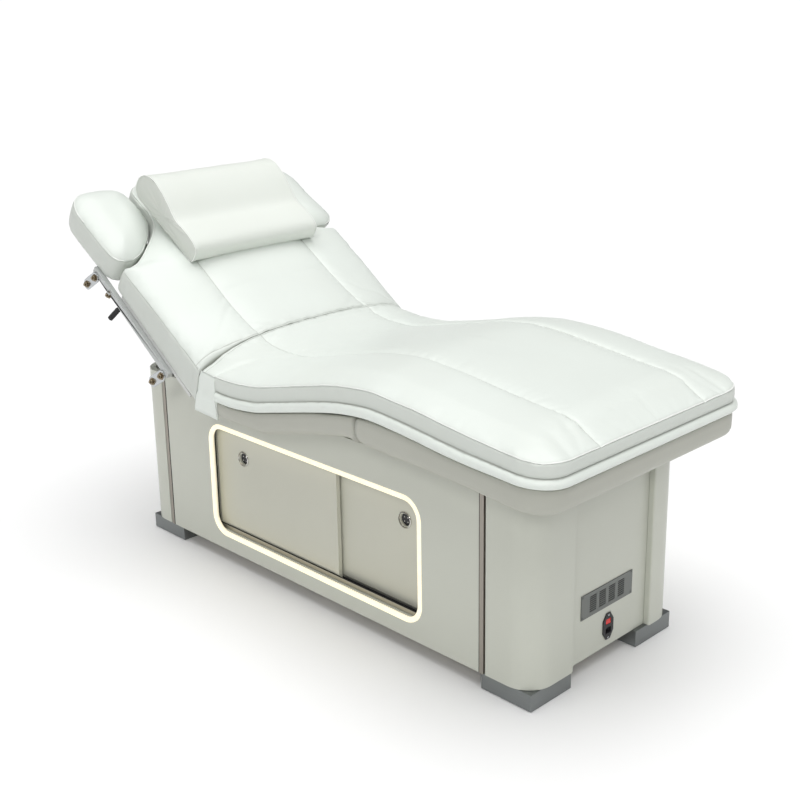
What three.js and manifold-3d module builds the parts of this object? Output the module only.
// Electric treatment table: a storage cabinet on four steel-clad feet carries a contoured couch.
// The backrest and the leg section are hinged and each is moved by its own linear actuator.
// Millimetres, +Z up, +X towards the foot end, -Y towards the side with the doors.

import * as THREE from "three";
import { mergeVertices } from "three/addons/utils/BufferGeometryUtils.js";
import Module from "manifold-3d";

const wasm = await Module();
wasm.setup();

// Clearances and overruns
const FIT_GAP = 0.3;
const RUN_GAP = 1;
const CUT_OVERRUN = 6;
const WELD_SINK = 1;

// Cabinet
const CABINET_LENGTH = 1545;
const CABINET_WIDTH = 584;
const CABINET_TOP_Z = 534;
const PANEL_THICKNESS = 18;
const COLUMN_RADIUS = 74;
const COLUMN_FOOT_LENGTH = 144;
const COLUMN_HEAD_LENGTH = 108;
const COLUMN_NEAR_REACH = 158;
const COLUMN_FAR_REACH = 112;
const COLUMN_HEAD_REACH = 130;
const COLUMN_EDGE_RADIUS = 5;

// Metal trim strips beside the columns
const STRIP_FACE_WIDTH = 14;
const STRIP_REVEAL_WIDTH = 5;
const STRIP_PROUD = 0.6;
const STRIP_FACE_DEPTH = 9;
const STRIP_FLANGE_THICKNESS = 4;

// Feet
const FOOT_HEIGHT = 46;
const FOOT_LENGTH = 155;
const FOOT_WIDTH = 152;
const FOOT_INSET = 7;
const FOOT_EDGE = 1.5;

// Lit opening and sliding doors
const OPENING_HEAD_MARGIN = 317.5;
const OPENING_FOOT_MARGIN = 353.5;
const OPENING_BOTTOM_Z = 74;
const OPENING_HEIGHT = 366;
const OPENING_RADIUS = 58;
const LIGHT_WIDTH = 14;
const LIGHT_RECESS = 1;
const LIGHT_DEPTH = 12;
const JAMB_WALL = 30;
const JAMB_SETBACK = 4;
const JAMB_DEPTH = 55;
const JAMB_SILL_RISE = 8;
const DOOR_LENGTH = 520;
const DOOR_THICKNESS = 12;
const DOOR_EDGE_WIDTH = 15;
const DOOR_EDGE_PROUD = 1.2;
const DOOR_FACE_SETBACK = 29;
const DOOR_SPACING = 5.5;
const DOOR_END_GAP = 6;
const TRACK_PLATE = 3;
const TRACK_RIB_HEIGHT = 10;
const TRACK_RIB_THICKNESS = 2;
const TRACK_MARGIN = 3;
const PULL_RADIUS = 23;
const PULL_CUP_RADIUS = 17;
const PULL_CORE_RADIUS = 7;
const PULL_FLANGE = 2.2;
const PULL_DEPTH = 9;
const PULL_WALL = 1.6;
const PULL_CENTRE_Z = 341;
const PULL_FRONT_INSET = 122;
const PULL_REAR_INSET = 85;

// Carcass inside the cabinet
const CARCASS_BOARD = 16;
const CARCASS_PARTITION_TOP_Z = 410;
const CORNER_CHAMFER = 16;

// Mains side: vent, inlet, switch, control box
const VENT_CENTRE_Y = 16;
const VENT_CENTRE_Z = 190;
const VENT_LENGTH = 208;
const VENT_HEIGHT = 65;
const VENT_THICKNESS = 2;
const VENT_COLUMNS = 4;
const VENT_ROWS = 8;
const VENT_SLOT_LENGTH = 27;
const VENT_SLOT_HEIGHT = 2.8;
const VENT_SLOT_PITCH_Z = 5.6;
const VENT_SLOT_PITCH_Y = 38;
const INLET_CENTRE_Y = 24;
const INLET_CENTRE_Z = 102;
const INLET_BODY_WIDTH = 28;
const INLET_BODY_HEIGHT = 48;
const INLET_BODY_DEPTH = 34;
const INLET_FLANGE_WIDTH = 42;
const INLET_FLANGE_HEIGHT = 72;
const INLET_FLANGE_EAR = 16;
const INLET_FLANGE_THICKNESS = 3;
const INLET_SOCKET_WIDTH = 22;
const INLET_SOCKET_HEIGHT = 16;
const INLET_SOCKET_DEPTH = 15;
const INLET_PIN = 2.2;
const INLET_PIN_LENGTH = 10;
const INLET_PIN_PITCH = 7;
const ROCKER_WIDTH = 19;
const ROCKER_HEIGHT = 13;
const ROCKER_DEPTH = 7;
const ROCKER_TILT_DEG = 8;
const CONTROL_LENGTH = 120;
const CONTROL_WIDTH = 150;
const CONTROL_HEIGHT = 56;
const CONTROL_END_GAP = 36.2;
const CONTROL_SIDE_GAP = 30;
const CONTROL_FIN_COUNT = 7;
const CONTROL_FIN_DEPTH = 4;
const CONTROL_FIN_THICKNESS = 5;

// Steel frame at the top of the cabinet
const FRAME_TUBE = 30;
const FRAME_DEPTH = 40;
const FRAME_PIN_RADIUS = 8;
const FRAME_EAR_RADIUS = 12;
const FRAME_EAR_THICKNESS = 8;
const FRAME_EAR_WIDTH = 44;
const MOVING_TUBE_WIDTH = 30;
const MOVING_TUBE_INNER_Y = 190;
const BARREL_RADIUS = 14;
const BARREL_CLEARANCE = 0.3;
const SEAT_POST_X = 250;

// Couch outline and contour, at the top seam
const COUCH_WIDTH = 795;
const SEAT_HEAD_X = -308;
const SEAT_HEAD_Z = 642;
const COUCH_FOOT_OVERHANG = 109.5;
const COUCH_CORNER_RADIUS = 85;
const CONTOUR_LOW_Z = 633;
const CONTOUR_RISE = 94;
const CONTOUR_SHARES = [
  [0, 0.096],
  [0.09, 0],
  [0.182, 0.085],
  [0.252, 0.28],
  [0.384, 0.68],
  [0.469, 0.9],
  [0.553, 1],
  [0.636, 0.935],
  [0.711, 0.83],
  [0.852, 0.606],
  [1, 0.372],
];
const BOXING_DEPTH = 43;
const BOXING_DRAW = 4;
const ROLL_DEPTH = 29;
const ROLL_GROOVE = 6;
const CROWN_HEIGHT = 50;
const CROWN_REACH = 397;
const CROWN_END_REACH = 230;
const CROWN_CREASE_SHARE = 0.62;
const CHANNEL_Y = 205;
const CHANNEL_WIDTH = 9;
const CHANNEL_DEPTH = 2.5;

// Upholstered trays under the couch
const TRAY_DEPTH = 60;
const TRAY_LOW_Z = 514;
const TRAY_WEB = 16;
const TRAY_SKIRT = 30;
const TRAY_ROUNDING = 26;
const TRAY_HEAD_OVERLAP_Z = 526;
const TRAY_FLAT_END_X = -60;
const TRAY_RAMP_END_X = 20;

// Knee hinge of the leg section
const KNEE_X = 303;
const KNEE_Z = 634;
const KNEE_OPENING_DEG = 25;
const KNEE_TRAY_GAP = 17;
const KNEE_RELIEF = 2.5;
const KNEE_RELIEF_START = 95;
const KNEE_RELIEF_END = 150;
const LEG_FRAME_END_GAP = 82;
const LEG_FRAME_DEPTH = 30;
const REST_BAR_WIDTH = 34;
const REST_BAR_INSET = 20.5;
const REST_BAR_OVERHANG = 12;

// Backrest: its seam plane starts at the seat's head seam and leans back
const BACK_START_X = -313;
const BACK_START_Z = 641;
const BACK_ANGLE_DEG = 32.8;
const BACK_LENGTH = 752;
const BACK_SHOULDER_START = 396;
const BACK_SHOULDER_END = 570;
const BACK_SHOULDER_BULGE = 450;
const BACK_SHOULDER_BULGE_HALF = 245;
const BACK_HEAD_HALF_WIDTH = 192;
const BACK_HEAD_RADIUS = 50;
const BACK_SHOULDER_CORNER = 14;
const BACK_HEAVY_DEPTH = 112;
const BACK_TAPER_SHARE = 0.07;
const BACK_BOARD = 12;
const BACK_HEEL_RISE_SHARE = 0.25;
const BACK_OPENING_DEG = 30;
const BACK_HINGE_ALONG = -10;
const BACK_HINGE_DROP = 128;
const BACK_HINGE_TO_FACE = 26;
const BACK_STRAP_WIDTH = 50;
const BACK_STRAP_THICKNESS = 8;
const BACK_ACTUATOR_ALONG = 90;
const BACK_ACTUATOR_DROP = 152;
const BACK_TUBE_END = 728;
const BACK_STRAP_ALONG = 305;
const BACK_MITRE_LEAN = 38;
const BACK_MITRE_DROP = 116;

// Side rails, brackets, levers
const RAIL_INNER_Y = 393;
const RAIL_WIDTH = 16;
const RAIL_DEPTH = 28;
const RAIL_START = 96;
const RAIL_END = 518;
const RAIL_EDGE = 2.5;
const BRACKET_THICKNESS = 4;
const BRACKET_LENGTH = 76;
const BRACKET_WIDTH = 34;
const BOLT_HEAD_RADIUS = 8.5;
const BOLT_HEAD_HEIGHT = 7;
const BOLT_PITCH_ALONG = 24;
const BOLT_PITCH_DROP = 46;
const BRACKET_LOW_ALONG = 113;
const BRACKET_UP_ALONG = 500;
const RAIL_BOLT_ALONG = 424;
const RAIL_BOLT_DROP = 5;
const BRACKET_LOW_DROP = 14;
const BRACKET_UP_DROP = 10;
const LEVER_ALONG = 374;
const LEVER_BOSS_RADIUS = 10;
const LEVER_THICKNESS = 8;
const LEVER_REACH = 58;
const LEVER_GRIP_RADIUS = 8.5;
const LEVER_GRIP_LENGTH = 40;
const LEVER_STEM_RADIUS = 4;

// Arm pads in the shoulder cut-outs
const ARM_START = 450;
const ARM_END = 754;
const ARM_OUTER_Y = 401;
const ARM_INNER_Y = 202;
const ARM_DEPTH = 70;
const ARM_DRAW = 5;
const ARM_CROWN = 32;
const ARM_CROWN_REACH = 95;
const ARM_PLATE = 4;
const ARM_PLATE_MARGIN = 34;
const ARM_EAR_THICKNESS = 6;
const ARM_EAR_WIDTH = 30;

// Pillow on the head end of the backrest
const PILLOW_START = 345;
const PILLOW_LENGTH = 325;
const PILLOW_HALF_WIDTH = 218;
const PILLOW_FRONT_HEIGHT = 62;
const PILLOW_DIP_HEIGHT = 58;
const PILLOW_REAR_HEIGHT = 98;
const PILLOW_END_DRAW = 10;
const PILLOW_REST = 50.6;

// Actuators
const ACTUATOR_Y = 0;
const ACTUATOR_TUBE_RADIUS = 19;
const ACTUATOR_ROD_RADIUS = 10;
const ACTUATOR_EYE_RADIUS = 12;
const ACTUATOR_EYE_WIDTH = 22;
const ACTUATOR_MOTOR_RADIUS = 27;
const ACTUATOR_MOTOR_LENGTH = 120;
const ACTUATOR_MOTOR_OFFSET = 62;
const ACTUATOR_GEAR_DEPTH = 62;
const ACTUATOR_BORE_CLEARANCE = 0.5;
const ACTUATOR_BRACKET_WIDTH = 56;
const ACTUATOR_BRACKET_PLATE = 6;
const CHEEK_GAP = 2;
const CHEEK_THICKNESS = 6;
const CHEEK_HALF_LENGTH = 17;
const ACTUATOR_ROD_START = 150;
const BACK_MOTOR_GAP = 99;
const BACK_MOTOR_Z = 100;
const BACK_TUBE_LENGTH = 370;
const LEG_MOTOR_GAP = 95;
const LEG_MOTOR_Z = 100;
const LEG_TUBE_LENGTH = 400;
const LEG_ACTUATOR_X = 450;
const LEG_ACTUATOR_Z = 575;

// Drawing quality
const ARC_SEGMENTS = 6;
const ROUND_SEGMENTS = 20;
const SMALL_ROUND_SEGMENTS = 12;
const CROSS_STATIONS = 12;
const LEAN_STEPS = 4;
const SEAT_ROWS = 14;
const KNEE_ROWS = 4;
const LEG_ROWS = 8;
const HOLLOW_ROWS = 18;
const LUMBAR_ROWS = 4;

// Sizes that follow from the ones above
const HALF_LENGTH = CABINET_LENGTH / 2;
const HALF_WIDTH = CABINET_WIDTH / 2;
const SIDE_INNER_Y = HALF_WIDTH - PANEL_THICKNESS;
const COUCH_FOOT_X = HALF_LENGTH + COUCH_FOOT_OVERHANG;
const LEG_FRAME_END_X = COUCH_FOOT_X - LEG_FRAME_END_GAP;
const REST_BAR_X = HALF_LENGTH - REST_BAR_INSET;
const COUCH_HALF = COUCH_WIDTH / 2;
const COUCH_SIDE_DEPTH = BOXING_DEPTH + ROLL_DEPTH;
const FLOOR_TOP_Z = FOOT_HEIGHT + PANEL_THICKNESS;
const END_FACE_X = HALF_LENGTH - PANEL_THICKNESS - FIT_GAP;
const MOVING_TUBE_OUTER_Y = MOVING_TUBE_INNER_Y + MOVING_TUBE_WIDTH;
const EAR_INNER_Y = MOVING_TUBE_OUTER_Y + RUN_GAP;
const EAR_OUTER_Y = EAR_INNER_Y + FRAME_EAR_THICKNESS;
const CROSS_TOP_Z = CABINET_TOP_Z - FRAME_DEPTH;
const CROSS_BOTTOM_Z = CROSS_TOP_Z - FRAME_TUBE;

const SIDES = [
  ["near", -1],
  ["far", 1],
];

// Solids from three.js geometry
function solidOf(geometry) {
  const bare = geometry.clone();
  bare.deleteAttribute("normal");
  bare.deleteAttribute("uv");
  const merged = mergeVertices(bare, 1e-4);
  return new wasm.Manifold(
    new wasm.Mesh({
      numProp: 3,
      vertProperties: new Float32Array(merged.attributes.position.array),
      triVerts: new Uint32Array(merged.index.array),
    }),
  );
}

function geometryOf(solid) {
  const data = solid.getMesh();
  const count = data.vertProperties.length / data.numProp;
  const positions = new Float32Array(3 * count);
  for (let i = 0; i < count; i += 1) {
    positions.set(data.vertProperties.subarray(i * data.numProp, i * data.numProp + 3), 3 * i);
  }
  const geometry = new THREE.BufferGeometry();
  geometry.setAttribute("position", new THREE.BufferAttribute(positions, 3));
  geometry.setIndex(new THREE.BufferAttribute(new Uint32Array(data.triVerts), 1));
  geometry.computeVertexNormals();
  return geometry;
}

function join(...geometries) {
  return geometryOf(geometries.map(solidOf).reduce((whole, next) => whole.add(next)));
}

function cut(geometry, ...cutters) {
  const tool = cutters.map(solidOf).reduce((whole, next) => whole.add(next));
  return geometryOf(solidOf(geometry).subtract(tool));
}

// Basic forms
function block(x0, x1, y0, y1, z0, z1) {
  const geometry = new THREE.BoxGeometry(x1 - x0, y1 - y0, z1 - z0);
  return geometry.translate((x0 + x1) / 2, (y0 + y1) / 2, (z0 + z1) / 2);
}

function extrudeUp(shape, z0, z1) {
  const options = { depth: z1 - z0, bevelEnabled: false, curveSegments: ARC_SEGMENTS };
  return new THREE.ExtrudeGeometry(shape, options).translate(0, 0, z0);
}

// A shape drawn in X and Z, carried along Y.
function extrudeAcross(shape, y0, y1) {
  const options = { depth: y1 - y0, bevelEnabled: false, curveSegments: ARC_SEGMENTS };
  return new THREE.ExtrudeGeometry(shape, options).rotateX(Math.PI / 2).translate(0, y1, 0);
}

// A shape drawn in Y and Z, carried along X.
function extrudeAlong(shape, x0, x1) {
  const options = { depth: x1 - x0, bevelEnabled: false, curveSegments: ARC_SEGMENTS };
  const geometry = new THREE.ExtrudeGeometry(shape, options);
  return geometry.rotateX(Math.PI / 2).rotateZ(Math.PI / 2).translate(x0, 0, 0);
}

function polygon(points) {
  return new THREE.Shape(points.map(([u, v]) => new THREE.Vector2(u, v)));
}

function roundedRectangle(x0, x1, z0, z1, radius) {
  const shape = new THREE.Shape();
  shape.moveTo(x0 + radius, z0);
  shape.absarc(x1 - radius, z0 + radius, radius, -Math.PI / 2, 0);
  shape.absarc(x1 - radius, z1 - radius, radius, 0, Math.PI / 2);
  shape.absarc(x0 + radius, z1 - radius, radius, Math.PI / 2, Math.PI);
  shape.absarc(x0 + radius, z0 + radius, radius, Math.PI, 1.5 * Math.PI);
  return shape;
}

function rodAcross(radius, y0, y1, x, z, segments = ROUND_SEGMENTS) {
  const geometry = new THREE.CylinderGeometry(radius, radius, y1 - y0, segments);
  return geometry.translate(x, (y0 + y1) / 2, z);
}

function rodUp(radius, z0, z1, x = 0, y = 0, segments = ROUND_SEGMENTS) {
  const geometry = new THREE.CylinderGeometry(radius, radius, z1 - z0, segments);
  return geometry.rotateX(Math.PI / 2).translate(x, y, (z0 + z1) / 2);
}

// A profile of [radius, height] pairs turned about the Y axis.
function turned(profile, segments = ROUND_SEGMENTS) {
  return new THREE.LatheGeometry(profile.map(([r, h]) => new THREE.Vector2(r, h)), segments);
}

function material(color, roughness, metalness = 0) {
  return new THREE.MeshStandardMaterial({ color, roughness, metalness });
}

const finishes = {
  cabinet: () => material(0xd9d7c8, 0.45),
  leather: () => material(0xeff1ea, 0.5),
  steel: () => material(0x9aa0a3, 0.3, 0.9),
  paintedSteel: () => material(0xc4cdd4, 0.4, 0.4),
  darkSteel: () => material(0x4a4e52, 0.5, 0.6),
  aluminium: () => material(0xc3c6c8, 0.35, 0.8),
  chrome: () => material(0xe0e2e4, 0.12, 1),
  black: () => material(0x15161a, 0.5),
  red: () => material(0xc8141a, 0.35),
  light: () => material(0xfff1cf, 0.3),
  board: () => material(0xcdbb98, 0.7),
};

function piece(name, geometry, finish) {
  const mesh = new THREE.Mesh(geometry, finishes[finish]());
  mesh.name = name;
  return mesh;
}

// A smooth height through chosen points, with level tangents at neither end.
function smoothThrough(points) {
  const slopes = points.map((point, i) => {
    const before = points[Math.max(i - 1, 0)];
    const after = points[Math.min(i + 1, points.length - 1)];
    return (after[1] - before[1]) / (after[0] - before[0]);
  });
  return (x) => {
    const last = points.length - 2;
    const found = points.findIndex((point, i) => i > 0 && x <= point[0]) - 1;
    const i = found < 0 ? (x <= points[0][0] ? 0 : last) : found;
    const width = points[i + 1][0] - points[i][0];
    const t = THREE.MathUtils.clamp((x - points[i][0]) / width, 0, 1);
    const rise = t * t * (3 - 2 * t);
    const start = t * (1 - t) * (1 - t);
    const end = t * t * (t - 1);
    const beyond = x - THREE.MathUtils.clamp(x, points[i][0], points[i + 1][0]);
    const edgeSlope = beyond < 0 ? slopes[i] : slopes[i + 1];
    return (
      points[i][1] * (1 - rise) +
      points[i + 1][1] * rise +
      width * (slopes[i] * start + slopes[i + 1] * end) +
      beyond * edgeSlope
    );
  };
}

const COUCH_LENGTH = COUCH_FOOT_X - SEAT_HEAD_X;
const seamHeight = smoothThrough(
  CONTOUR_SHARES.map(([along, rise]) => [
    SEAT_HEAD_X + along * COUCH_LENGTH,
    CONTOUR_LOW_Z + rise * CONTOUR_RISE,
  ]),
);

function distanceToPath(x, y, path) {
  let nearest = Infinity;
  for (let i = 0; i + 1 < path.length; i += 1) {
    const [ax, ay] = path[i];
    const [bx, by] = path[i + 1];
    const lengthSquared = (bx - ax) ** 2 + (by - ay) ** 2;
    const t = lengthSquared ? ((x - ax) * (bx - ax) + (y - ay) * (by - ay)) / lengthSquared : 0;
    const held = THREE.MathUtils.clamp(t, 0, 1);
    nearest = Math.min(nearest, Math.hypot(x - ax - held * (bx - ax), y - ay - held * (by - ay)));
  }
  return nearest;
}

// How far a cushion's top has risen at a distance from its seam, from 0 to 1.
function bulge(distance, reach, power = 3) {
  return 1 - (1 - THREE.MathUtils.clamp(distance / reach, 0, 1)) ** power;
}

function channelDip(y) {
  const offset = (Math.abs(y) - CHANNEL_Y) / CHANNEL_WIDTH;
  return Math.abs(offset) < 1 ? CHANNEL_DEPTH * (0.5 + 0.5 * Math.cos(Math.PI * offset)) : 0;
}

// Cross stations of a cushion, as shares of its half width, with the two sewn channels met by a
// station each and a pair beside it.
function crossShares(halfWidth) {
  const channel = Math.min(CHANNEL_Y / halfWidth, 0.7);
  const beside = CHANNEL_WIDTH / halfWidth;
  const half = [0.28, channel - beside, channel, channel + beside, (channel + 1) / 2, 0.9, 1];
  return [...half.map((share) => -share).reverse(), 0, ...half];
}

function plainShares() {
  return Array.from({ length: CROSS_STATIONS + 1 }, (unused, j) => (2 * j) / CROSS_STATIONS - 1);
}

// A closed body over a plan grid. rows holds [x, half width] stations, shares the cross
// stations, levels the side rings from the top seam down as { inset, height(x, y) }, and top(x, y)
// gives the rise of the upper surface over the first ring. ends may hold a leaning face for the
// first and the last row, as a function from height to x; in a wedge the rows between share the
// room that the two faces leave.
function padded({ rows, shares, levels, top, centreY = 0, ends = [null, null], wedge = false }) {
  const rowCount = rows.length;
  const crossCount = shares.length;
  const plan = rows.map(([x, half]) => shares.map((share) => [x, centreY + share * half]));
  const loop = [];
  for (let i = 0; i < rowCount; i += 1) loop.push([i, 0]);
  for (let j = 1; j < crossCount; j += 1) loop.push([rowCount - 1, j]);
  for (let i = rowCount - 2; i >= 0; i -= 1) loop.push([i, crossCount - 1]);
  for (let j = crossCount - 2; j > 0; j -= 1) loop.push([0, j]);
  const positions = [];
  const indices = [];
  const lean = (i, x, z) => {
    if (i === 0 && ends[0]) return ends[0](z);
    if (i === rowCount - 1 && ends[1]) return ends[1](z);
    return wedge ? THREE.MathUtils.lerp(ends[0](z), ends[1](z), i / (rowCount - 1)) : x;
  };
  const addVertex = (i, x, y, height) => {
    let place = x;
    let z = height(place, y);
    for (let step = 0; step < LEAN_STEPS; step += 1) {
      place = lean(i, x, z);
      z = height(place, y);
    }
    positions.push(place, y, z);
    return positions.length / 3 - 1;
  };
  const inward = loop.map(([i, j], k) => {
    const [bi, bj] = loop[(k + loop.length - 1) % loop.length];
    const [ai, aj] = loop[(k + 1) % loop.length];
    const before = plan[bi][bj];
    const here = plan[i][j];
    const after = plan[ai][aj];
    const first = new THREE.Vector2(here[0] - before[0], here[1] - before[1]).normalize();
    const second = new THREE.Vector2(after[0] - here[0], after[1] - here[1]).normalize();
    const normal = new THREE.Vector2(-(first.y + second.y), first.x + second.x);
    const size = normal.length();
    return size ? normal.divideScalar(size) : normal;
  });
  const ringAt = (level) =>
    loop.map(([i, j], k) => {
      const heldEnd = (i === 0 && ends[0]) || (i === rowCount - 1 && ends[1]);
      const x = plan[i][j][0] + (heldEnd ? 0 : inward[k].x * level.inset);
      const isCorner = j === 0 || j === crossCount - 1;
      const step = heldEnd ? (isCorner ? Math.sign(inward[k].y) : 0) : inward[k].y;
      const y = plan[i][j][1] + step * level.inset;
      return addVertex(i, x, y, level.height);
    });
  const capAt = (ring, height) => {
    const grid = plan.map((row) => row.map(() => -1));
    loop.forEach(([i, j], k) => {
      grid[i][j] = ring[k];
    });
    for (let i = 1; i < rowCount - 1; i += 1) {
      for (let j = 1; j < crossCount - 1; j += 1) {
        const [x, y] = plan[i][j];
        grid[i][j] = addVertex(i, x, y, height);
      }
    }
    return grid;
  };
  const coverGrid = (grid, flip) => {
    for (let i = 0; i + 1 < rowCount; i += 1) {
      for (let j = 0; j + 1 < crossCount; j += 1) {
        const corners = [grid[i][j], grid[i + 1][j], grid[i + 1][j + 1], grid[i][j + 1]];
        const turnedCorners = flip ? corners.reverse() : corners;
        indices.push(turnedCorners[0], turnedCorners[1], turnedCorners[2]);
        indices.push(turnedCorners[0], turnedCorners[2], turnedCorners[3]);
      }
    }
  };
  const withTop = { inset: 0, height: (x, y) => levels[0].height(x, y) + top(x, y) };
  const rings = [];
  const firstInset = levels[0].inset;
  rings.push(ringAt({ inset: firstInset, height: withTop.height }));
  levels.slice(1).forEach((level) => rings.push(ringAt(level)));
  coverGrid(capAt(rings[0], withTop.height), false);
  coverGrid(capAt(rings[rings.length - 1], levels[levels.length - 1].height), true);
  for (let r = 0; r + 1 < rings.length; r += 1) {
    for (let k = 0; k < loop.length; k += 1) {
      const next = (k + 1) % loop.length;
      indices.push(rings[r][k], rings[r + 1][k], rings[r + 1][next]);
      indices.push(rings[r][k], rings[r + 1][next], rings[r][next]);
    }
  }
  const geometry = new THREE.BufferGeometry();
  geometry.setAttribute("position", new THREE.Float32BufferAttribute(positions, 3));
  geometry.setIndex(indices);
  return geometry;
}

// Rows from one place to another, then round a corner of the plan at the far end.
function rowsWithRoundEnd(starts, endX, half, radius, steps = 5) {
  const rows = starts.map((x) => [x, half]);
  for (let i = 0; i <= steps; i += 1) {
    const angle = (i / steps) * (Math.PI / 2);
    rows.push([endX - radius + radius * Math.sin(angle), half - radius + radius * Math.cos(angle)]);
  }
  return rows;
}

function evenly(from, to, count) {
  return Array.from({ length: count }, (unused, i) => from + ((to - from) * i) / (count - 1));
}

// Cabinet
function columnShape(length, reach, wall) {
  const shape = new THREE.Shape();
  const inner = COLUMN_RADIUS - wall;
  shape.moveTo(-length, 0);
  shape.lineTo(-COLUMN_RADIUS, 0);
  shape.absarc(-COLUMN_RADIUS, COLUMN_RADIUS, COLUMN_RADIUS, -Math.PI / 2, 0);
  shape.lineTo(0, reach - COLUMN_EDGE_RADIUS);
  const edge = reach - COLUMN_EDGE_RADIUS;
  shape.absarc(-COLUMN_EDGE_RADIUS, edge, COLUMN_EDGE_RADIUS, 0, Math.PI / 2);
  shape.lineTo(-wall, reach);
  shape.lineTo(-wall, COLUMN_RADIUS);
  shape.absarc(-COLUMN_RADIUS, COLUMN_RADIUS, inner, 0, -Math.PI / 2, true);
  shape.lineTo(-length, wall);
  return shape;
}

// The column is drawn for the foot end's near corner; the other corners are turned copies.
function column(name, length, reach, endSign, sideSign) {
  const geometry = extrudeUp(columnShape(length, reach, PANEL_THICKNESS), FOOT_HEIGHT, CABINET_TOP_Z);
  const solid = solidOf(geometry)
    .scale([endSign, -sideSign, 1])
    .translate([endSign * HALF_LENGTH, sideSign * HALF_WIDTH, 0]);
  return piece(name, geometryOf(solid), "cabinet");
}

function strip(name, x, sideSign, faceSign) {
  const front = HALF_WIDTH + STRIP_PROUD;
  const back = HALF_WIDTH - STRIP_FACE_DEPTH;
  const flangeBack = back - STRIP_FLANGE_THICKNESS;
  const faceEnd = x + faceSign * STRIP_FACE_WIDTH;
  const flangeEnd = faceEnd + faceSign * STRIP_REVEAL_WIDTH;
  const outline = polygon([
    [x, front],
    [faceEnd, front],
    [faceEnd, back],
    [flangeEnd, back],
    [flangeEnd, flangeBack],
    [x, flangeBack],
  ]);
  const solid = solidOf(extrudeUp(outline, FOOT_HEIGHT, CABINET_TOP_Z)).scale([1, sideSign, 1]);
  return piece(name, geometryOf(solid), "steel");
}

function foot(name, endSign, sideSign) {
  const outerX = HALF_LENGTH - FOOT_INSET;
  const outerY = HALF_WIDTH - FOOT_INSET;
  const x0 = Math.min(endSign * outerX, endSign * (outerX - FOOT_LENGTH));
  const y0 = Math.min(sideSign * outerY, sideSign * (outerY - FOOT_WIDTH));
  const shape = polygon([
    [y0, FOOT_EDGE],
    [y0 + FOOT_EDGE, 0],
    [y0 + FOOT_WIDTH - FOOT_EDGE, 0],
    [y0 + FOOT_WIDTH, FOOT_EDGE],
    [y0 + FOOT_WIDTH, FOOT_HEIGHT - FIT_GAP],
    [y0, FOOT_HEIGHT - FIT_GAP],
  ]);
  return piece(name, extrudeAlong(shape, x0, x0 + FOOT_LENGTH), "steel");
}

const STRIP_SPAN = STRIP_FACE_WIDTH + STRIP_REVEAL_WIDTH;
const SIDE_PANEL_X0 = -HALF_LENGTH + COLUMN_HEAD_LENGTH + STRIP_SPAN + 2 * FIT_GAP;
const SIDE_PANEL_X1 = HALF_LENGTH - COLUMN_FOOT_LENGTH - STRIP_SPAN - 2 * FIT_GAP;
const OPENING_X0 = OPENING_HEAD_MARGIN - HALF_LENGTH;
const OPENING_X1 = HALF_LENGTH - OPENING_FOOT_MARGIN;
const OPENING_TOP_Z = OPENING_BOTTOM_Z + OPENING_HEIGHT;

function openingOutline(shrink) {
  return roundedRectangle(
    OPENING_X0 + shrink,
    OPENING_X1 - shrink,
    OPENING_BOTTOM_Z + shrink,
    OPENING_TOP_Z - shrink,
    OPENING_RADIUS - shrink,
  );
}

function sidePanels() {
  const sheet = (sign) =>
    block(
      SIDE_PANEL_X0,
      SIDE_PANEL_X1,
      Math.min(sign * HALF_WIDTH, sign * SIDE_INNER_Y),
      Math.max(sign * HALF_WIDTH, sign * SIDE_INNER_Y),
      FOOT_HEIGHT,
      CABINET_TOP_Z,
    );
  const hole = extrudeAcross(
    openingOutline(0),
    -HALF_WIDTH - CUT_OVERRUN,
    -SIDE_INNER_Y + CUT_OVERRUN,
  );
  return [
    piece("side_panel_near", cut(sheet(-1), hole), "cabinet"),
    piece("side_panel_far", sheet(1), "cabinet"),
  ];
}

function lightStrip() {
  const y0 = -HALF_WIDTH + LIGHT_RECESS;
  const ring = extrudeAcross(openingOutline(FIT_GAP), y0, y0 + LIGHT_DEPTH);
  const hole = extrudeAcross(openingOutline(LIGHT_WIDTH), y0 - CUT_OVERRUN, y0 + LIGHT_DEPTH + CUT_OVERRUN);
  return piece("led_strip", cut(ring, hole), "light");
}

const JAMB_X0 = OPENING_X0 + LIGHT_WIDTH - JAMB_SETBACK;
const JAMB_X1 = OPENING_X1 - LIGHT_WIDTH + JAMB_SETBACK;
const JAMB_Z0 = OPENING_BOTTOM_Z + LIGHT_WIDTH + JAMB_SILL_RISE;
const JAMB_Z1 = OPENING_TOP_Z - LIGHT_WIDTH + JAMB_SETBACK;
const JAMB_FRONT_Y = -SIDE_INNER_Y + FIT_GAP;
const JAMB_BACK_Y = JAMB_FRONT_Y + JAMB_DEPTH;
const DOOR_FRONT_Y = -HALF_WIDTH + DOOR_FACE_SETBACK;
const DOOR_REAR_Y = DOOR_FRONT_Y + DOOR_THICKNESS + DOOR_SPACING;
const TRACK_Y0 = DOOR_FRONT_Y - TRACK_MARGIN - TRACK_RIB_THICKNESS;
const TRACK_Y1 = DOOR_REAR_Y + DOOR_THICKNESS + TRACK_MARGIN + TRACK_RIB_THICKNESS;
const TRACK_MIDDLE_Y = DOOR_FRONT_Y + DOOR_THICKNESS + DOOR_SPACING / 2;
const DOOR_Z0 = JAMB_Z0 + FIT_GAP + TRACK_PLATE + FIT_GAP;
const DOOR_Z1 = JAMB_Z1 - FIT_GAP - TRACK_PLATE - RUN_GAP;

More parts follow.
